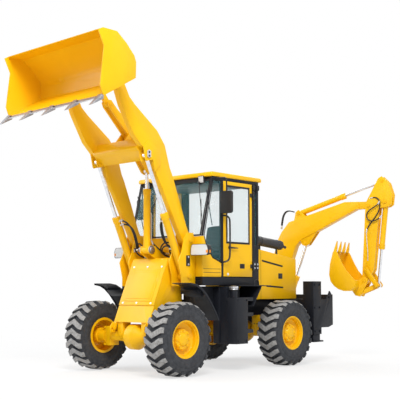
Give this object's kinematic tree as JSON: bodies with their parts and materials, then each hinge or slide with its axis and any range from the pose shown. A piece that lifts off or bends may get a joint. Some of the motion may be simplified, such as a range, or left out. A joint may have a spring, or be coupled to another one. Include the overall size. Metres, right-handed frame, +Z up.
{
  "type": "backhoe loader",
  "caption": "Compact backhoe loader with raised front bucket, steered front axle, enclosed cab, and a side-shifting backhoe swung out to one side.",
  "frame": {"origin": "on the ground, on the centreline, midway between the axles", "axes": "+Y to the rear, +X to the left side of the machine, +Z up"},
  "size_m": [2.8368, 6.6288, 4.7151],
  "materials": {
    "paint_yellow": "gloss",
    "paint_charcoal": "satin",
    "tyre_rubber": "matte",
    "glass": "gloss",
    "rod_chrome": "polished",
    "worn_steel": "worn",
    "black_plastic": "matte",
    "seat_vinyl": "satin",
    "engine_iron": "matte"
  },
  "bodies": {
    "chassis": {"front_frame": "paint_yellow", "front_cover": "paint_yellow", "rear_frame": "paint_charcoal", "front_axle": "paint_yellow", "rear_axle": "paint_yellow", "engine": "engine_iron", "hood": "paint_yellow", "muffler": "paint_charcoal", "cab_frame": "paint_charcoal", "cab_roof": "paint_yellow", "cab_cowl": "paint_yellow", "cab_glass": "glass", "seat": "seat_vinyl", "console": "black_plastic", "side_tanks": "paint_charcoal", "fenders": "paint_charcoal", "headlamps": "black_plastic", "mirrors": "black_plastic"},
    "steering_left": {"knuckle_left": "paint_yellow"},
    "steering_right": {"knuckle_right": "paint_yellow"},
    "wheel_front_left": {"tyre_front_left": "tyre_rubber", "rim_front_left": "paint_yellow"},
    "wheel_front_right": {"tyre_front_right": "tyre_rubber", "rim_front_right": "paint_yellow"},
    "wheel_rear_left": {"tyre_rear_left": "tyre_rubber", "rim_rear_left": "paint_yellow"},
    "wheel_rear_right": {"tyre_rear_right": "tyre_rubber", "rim_rear_right": "paint_yellow"},
    "door_left": {"door_left": "paint_yellow", "glass_left": "glass"},
    "door_right": {"door_right": "paint_yellow", "glass_right": "glass"},
    "arm": {"loader_arm": "paint_yellow"},
    "lift_barrel": {"lift_barrels": "paint_yellow"},
    "lift_rod": {"lift_rods": "rod_chrome"},
    "tilt_trunnion": {"tilt_pin": "worn_steel"},
    "tilt_barrel": {"tilt_barrel": "paint_yellow"},
    "tilt_rod": {"tilt_rod": "rod_chrome"},
    "rocker_shaft": {"rocker_pin": "worn_steel"},
    "rocker": {"rocker": "paint_yellow"},
    "link_shaft": {"link_pin": "worn_steel"},
    "bucket_link": {"bucket_link": "paint_yellow"},
    "bucket_hinge": {"bucket_pins": "worn_steel"},
    "bucket": {"front_bucket": "paint_yellow", "bucket_teeth": "worn_steel"},
    "carriage": {"carriage": "paint_charcoal"},
    "post": {"swing_post": "paint_yellow"},
    "boom": {"boom": "paint_yellow"},
    "boom_barrel": {"boom_barrel": "paint_yellow"},
    "boom_rod": {"boom_rod": "rod_chrome"},
    "dipper": {"dipper": "paint_yellow"},
    "dipper_barrel": {"dipper_barrel": "paint_yellow"},
    "dipper_rod": {"dipper_rod": "rod_chrome"},
    "hoe_bucket": {"rear_bucket": "paint_yellow"},
    "bucket_barrel": {"bucket_barrel": "paint_yellow"},
    "bucket_rod": {"bucket_rod": "rod_chrome"},
    "lever": {"tipping_lever": "paint_yellow"},
    "hoe_link": {"tipping_link": "paint_yellow"},
    "stabilizer_left": {"stabilizer_left": "paint_charcoal"},
    "stabilizer_right": {"stabilizer_right": "paint_charcoal"}
  },
  "joints": [
    {"name": "steer_left", "type": "hinge", "parent": "chassis", "child": "steering_left", "pos_m": [0.64, -1.27, 0.5375], "axis": [0, 0, 1], "range_deg": [-28, 28]},
    {"name": "steer_right", "type": "hinge", "parent": "chassis", "child": "steering_right", "pos_m": [-0.64, -1.27, 0.5375], "axis": [0, 0, 1], "range_deg": [-29, 29]},
    {"name": "roll_front_left", "type": "hinge", "parent": "steering_left", "child": "wheel_front_left", "pos_m": [0.8845, -1.27, 0.5375], "axis": [1, 0, 0], "continuous": true},
    {"name": "roll_front_right", "type": "hinge", "parent": "steering_right", "child": "wheel_front_right", "pos_m": [-0.8845, -1.27, 0.5375], "axis": [1, 0, 0], "continuous": true},
    {"name": "roll_rear_left", "type": "hinge", "parent": "chassis", "child": "wheel_rear_left", "pos_m": [0.8845, 1.27, 0.5375], "axis": [1, 0, 0], "continuous": true},
    {"name": "roll_rear_right", "type": "hinge", "parent": "chassis", "child": "wheel_rear_right", "pos_m": [-0.8845, 1.27, 0.5375], "axis": [1, 0, 0], "continuous": true},
    {"name": "door_left", "type": "hinge", "parent": "chassis", "child": "door_left", "pos_m": [0.818, 0.535, 2.2], "axis": [0, 0, 1], "range_deg": [0, 80]},
    {"name": "door_right", "type": "hinge", "parent": "chassis", "child": "door_right", "pos_m": [-0.818, 0.535, 2.2], "axis": [0, 0, -1], "range_deg": [0, 80]},
    {"name": "arm_lift", "type": "hinge", "parent": "chassis", "child": "arm", "pos_m": [0, -0.772, 1.997], "axis": [-1, 0, 0], "range_deg": [-101.5, 0]},
    {"name": "lift_barrel_swing", "type": "hinge", "parent": "chassis", "child": "lift_barrel", "pos_m": [0, -0.794, 1.446], "axis": [-1, 0, 0], "range_deg": [-93.85, 1.89]},
    {"name": "lift_rod_slide", "type": "slide", "parent": "lift_barrel", "child": "lift_rod", "axis": [0, -0.4135, 0.9105], "range_m": [-0.83536, 0.01736]},
    {"name": "tilt_trunnion_turn", "type": "hinge", "parent": "chassis", "child": "tilt_trunnion", "pos_m": [0, -1.048, 1.856], "axis": [-1, 0, 0], "range_deg": [-101.72, 2.04]},
    {"name": "bucket_tilt", "type": "hinge", "parent": "bucket_hinge", "child": "bucket", "pos_m": [0, -2.21, 4.29], "axis": [-1, 0, 0], "range_deg": [-2, 60]},
    {"name": "bucket_level", "type": "hinge", "parent": "arm", "child": "bucket_hinge", "pos_m": [0, -2.21, 4.29], "axis": [-1, 0, 0], "range_deg": [-2.69, 134.9]},
    {"name": "tilt_barrel_swing", "type": "hinge", "parent": "tilt_trunnion", "child": "tilt_barrel", "pos_m": [0, -1.048, 1.856], "axis": [-1, 0, 0], "range_deg": [-0.38, 6.3]},
    {"name": "tilt_rod_slide", "type": "slide", "parent": "tilt_barrel", "child": "tilt_rod", "axis": [0, -0.0057, 1], "range_m": [-0.01045, 0.17962]},
    {"name": "rocker_level", "type": "hinge", "parent": "arm", "child": "rocker_shaft", "pos_m": [0, -1.42, 3.56], "axis": [-1, 0, 0], "range_deg": [-50.37, 1.04]},
    {"name": "rocker_tilt", "type": "hinge", "parent": "rocker_shaft", "child": "rocker", "pos_m": [0, -1.42, 3.56], "axis": [-1, 0, 0], "range_deg": [-22.1, 1.22]},
    {"name": "link_level", "type": "hinge", "parent": "bucket", "child": "link_shaft", "pos_m": [0, -2.371, 4.593], "axis": [-1, 0, 0], "range_deg": [-76.66, 1.55]},
    {"name": "link_tilt", "type": "hinge", "parent": "link_shaft", "child": "bucket_link", "pos_m": [0, -2.371, 4.593], "axis": [-1, 0, 0], "range_deg": [-20.26, 1.12]},
    {"name": "carriage_shift", "type": "slide", "parent": "chassis", "child": "carriage", "axis": [1, 0, 0], "range_m": [0, 1.2]},
    {"name": "swing", "type": "hinge", "parent": "carriage", "child": "post", "pos_m": [-0.6, 2.83, 0.9], "axis": [0, 0, 1], "range_deg": [-13, 162]},
    {"name": "boom_lift", "type": "hinge", "parent": "post", "child": "boom", "pos_m": [-0.45384, 2.86374, 1.37], "axis": [0.225, -0.9744, 0], "range_deg": [-64, 4]},
    {"name": "boom_barrel_swing", "type": "hinge", "parent": "post", "child": "boom_barrel", "pos_m": [-0.3642, 2.88444, 0.72], "axis": [0.225, -0.9744, 0], "range_deg": [-43.42, 3.61]},
    {"name": "boom_rod_slide", "type": "slide", "parent": "boom_barrel", "child": "boom_rod", "axis": [0.3188, 0.0736, 0.945], "range_m": [-0.55376, 0.04633]},
    {"name": "dipper_crowd", "type": "hinge", "parent": "boom", "child": "dipper", "pos_m": [1.31074, 3.27113, 2.757], "axis": [-0.225, 0.9744, 0], "range_deg": [-75, 8]},
    {"name": "dipper_barrel_swing", "type": "hinge", "parent": "boom", "child": "dipper_barrel", "pos_m": [-0.02122, 2.96362, 2.676], "axis": [-0.225, 0.9744, 0], "range_deg": [-2.81, 0.4]},
    {"name": "dipper_rod_slide", "type": "slide", "parent": "dipper_barrel", "child": "dipper_rod", "axis": [0.9284, 0.2143, 0.3035], "range_m": [-0.61076, 0.07784]},
    {"name": "bucket_curl", "type": "hinge", "parent": "dipper", "child": "hoe_bucket", "pos_m": [1.21915, 3.24998, 1.408], "axis": [-0.225, 0.9744, 0], "range_deg": [-135, 5]},
    {"name": "lever_turn", "type": "hinge", "parent": "dipper", "child": "lever", "pos_m": [1.25715, 3.25876, 1.615], "axis": [-0.225, 0.9744, 0], "range_deg": [-102.85, 5.87]},
    {"name": "hoe_link_turn", "type": "hinge", "parent": "lever", "child": "hoe_link", "pos_m": [1.44423, 3.30195, 1.321], "axis": [-0.225, 0.9744, 0], "range_deg": [-2.78, 48.28]},
    {"name": "bucket_barrel_swing", "type": "hinge", "parent": "dipper", "child": "bucket_barrel", "pos_m": [1.60597, 3.33929, 2.813], "axis": [-0.225, 0.9744, 0], "range_deg": [-2.81, 0.21]},
    {"name": "bucket_rod_slide", "type": "slide", "parent": "bucket_barrel", "child": "bucket_rod", "axis": [-0.1077, -0.0249, -0.9939], "range_m": [-0.53107, 0.031]},
    {"name": "stabilizer_left_drop", "type": "slide", "parent": "chassis", "child": "stabilizer_left", "axis": [0, 0, 1], "range_m": [-0.46, 0]},
    {"name": "stabilizer_right_drop", "type": "slide", "parent": "chassis", "child": "stabilizer_right", "axis": [0, 0, 1], "range_m": [-0.46, 0]}
  ],
  "couplings": [
    {"joint": "steer_right", "follows": "steer_left", "ratio": 1},
    {"joint": "lift_barrel_swing", "follows": "arm_lift", "ratio": 0.906},
    {"joint": "lift_rod_slide", "follows": "arm_lift", "m_per_rad": 0.46175},
    {"joint": "tilt_trunnion_turn", "follows": "arm_lift", "ratio": 0.982},
    {"joint": "bucket_level", "follows": "arm_lift", "ratio": -1.3025},
    {"joint": "tilt_barrel_swing", "follows": "bucket_tilt", "ratio": 0.102},
    {"joint": "tilt_rod_slide", "follows": "bucket_tilt", "m_per_rad": 0.16711},
    {"joint": "rocker_level", "follows": "arm_lift", "ratio": 0.486},
    {"joint": "rocker_tilt", "follows": "bucket_tilt", "ratio": -0.36},
    {"joint": "link_level", "follows": "arm_lift", "ratio": 0.74},
    {"joint": "link_tilt", "follows": "bucket_tilt", "ratio": -0.33},
    {"joint": "boom_barrel_swing", "follows": "boom_lift", "ratio": 0.6636},
    {"joint": "boom_rod_slide", "follows": "boom_lift", "m_per_rad": 0.48456},
    {"joint": "dipper_barrel_swing", "follows": "dipper_crowd", "ratio": 0.036},
    {"joint": "dipper_rod_slide", "follows": "dipper_crowd", "m_per_rad": 0.45573},
    {"joint": "lever_turn", "follows": "bucket_curl", "ratio": 0.746},
    {"joint": "hoe_link_turn", "follows": "bucket_curl", "ratio": -0.35},
    {"joint": "bucket_barrel_swing", "follows": "bucket_curl", "ratio": 0.02},
    {"joint": "bucket_rod_slide", "follows": "bucket_curl", "m_per_rad": 0.2204}
  ]
}
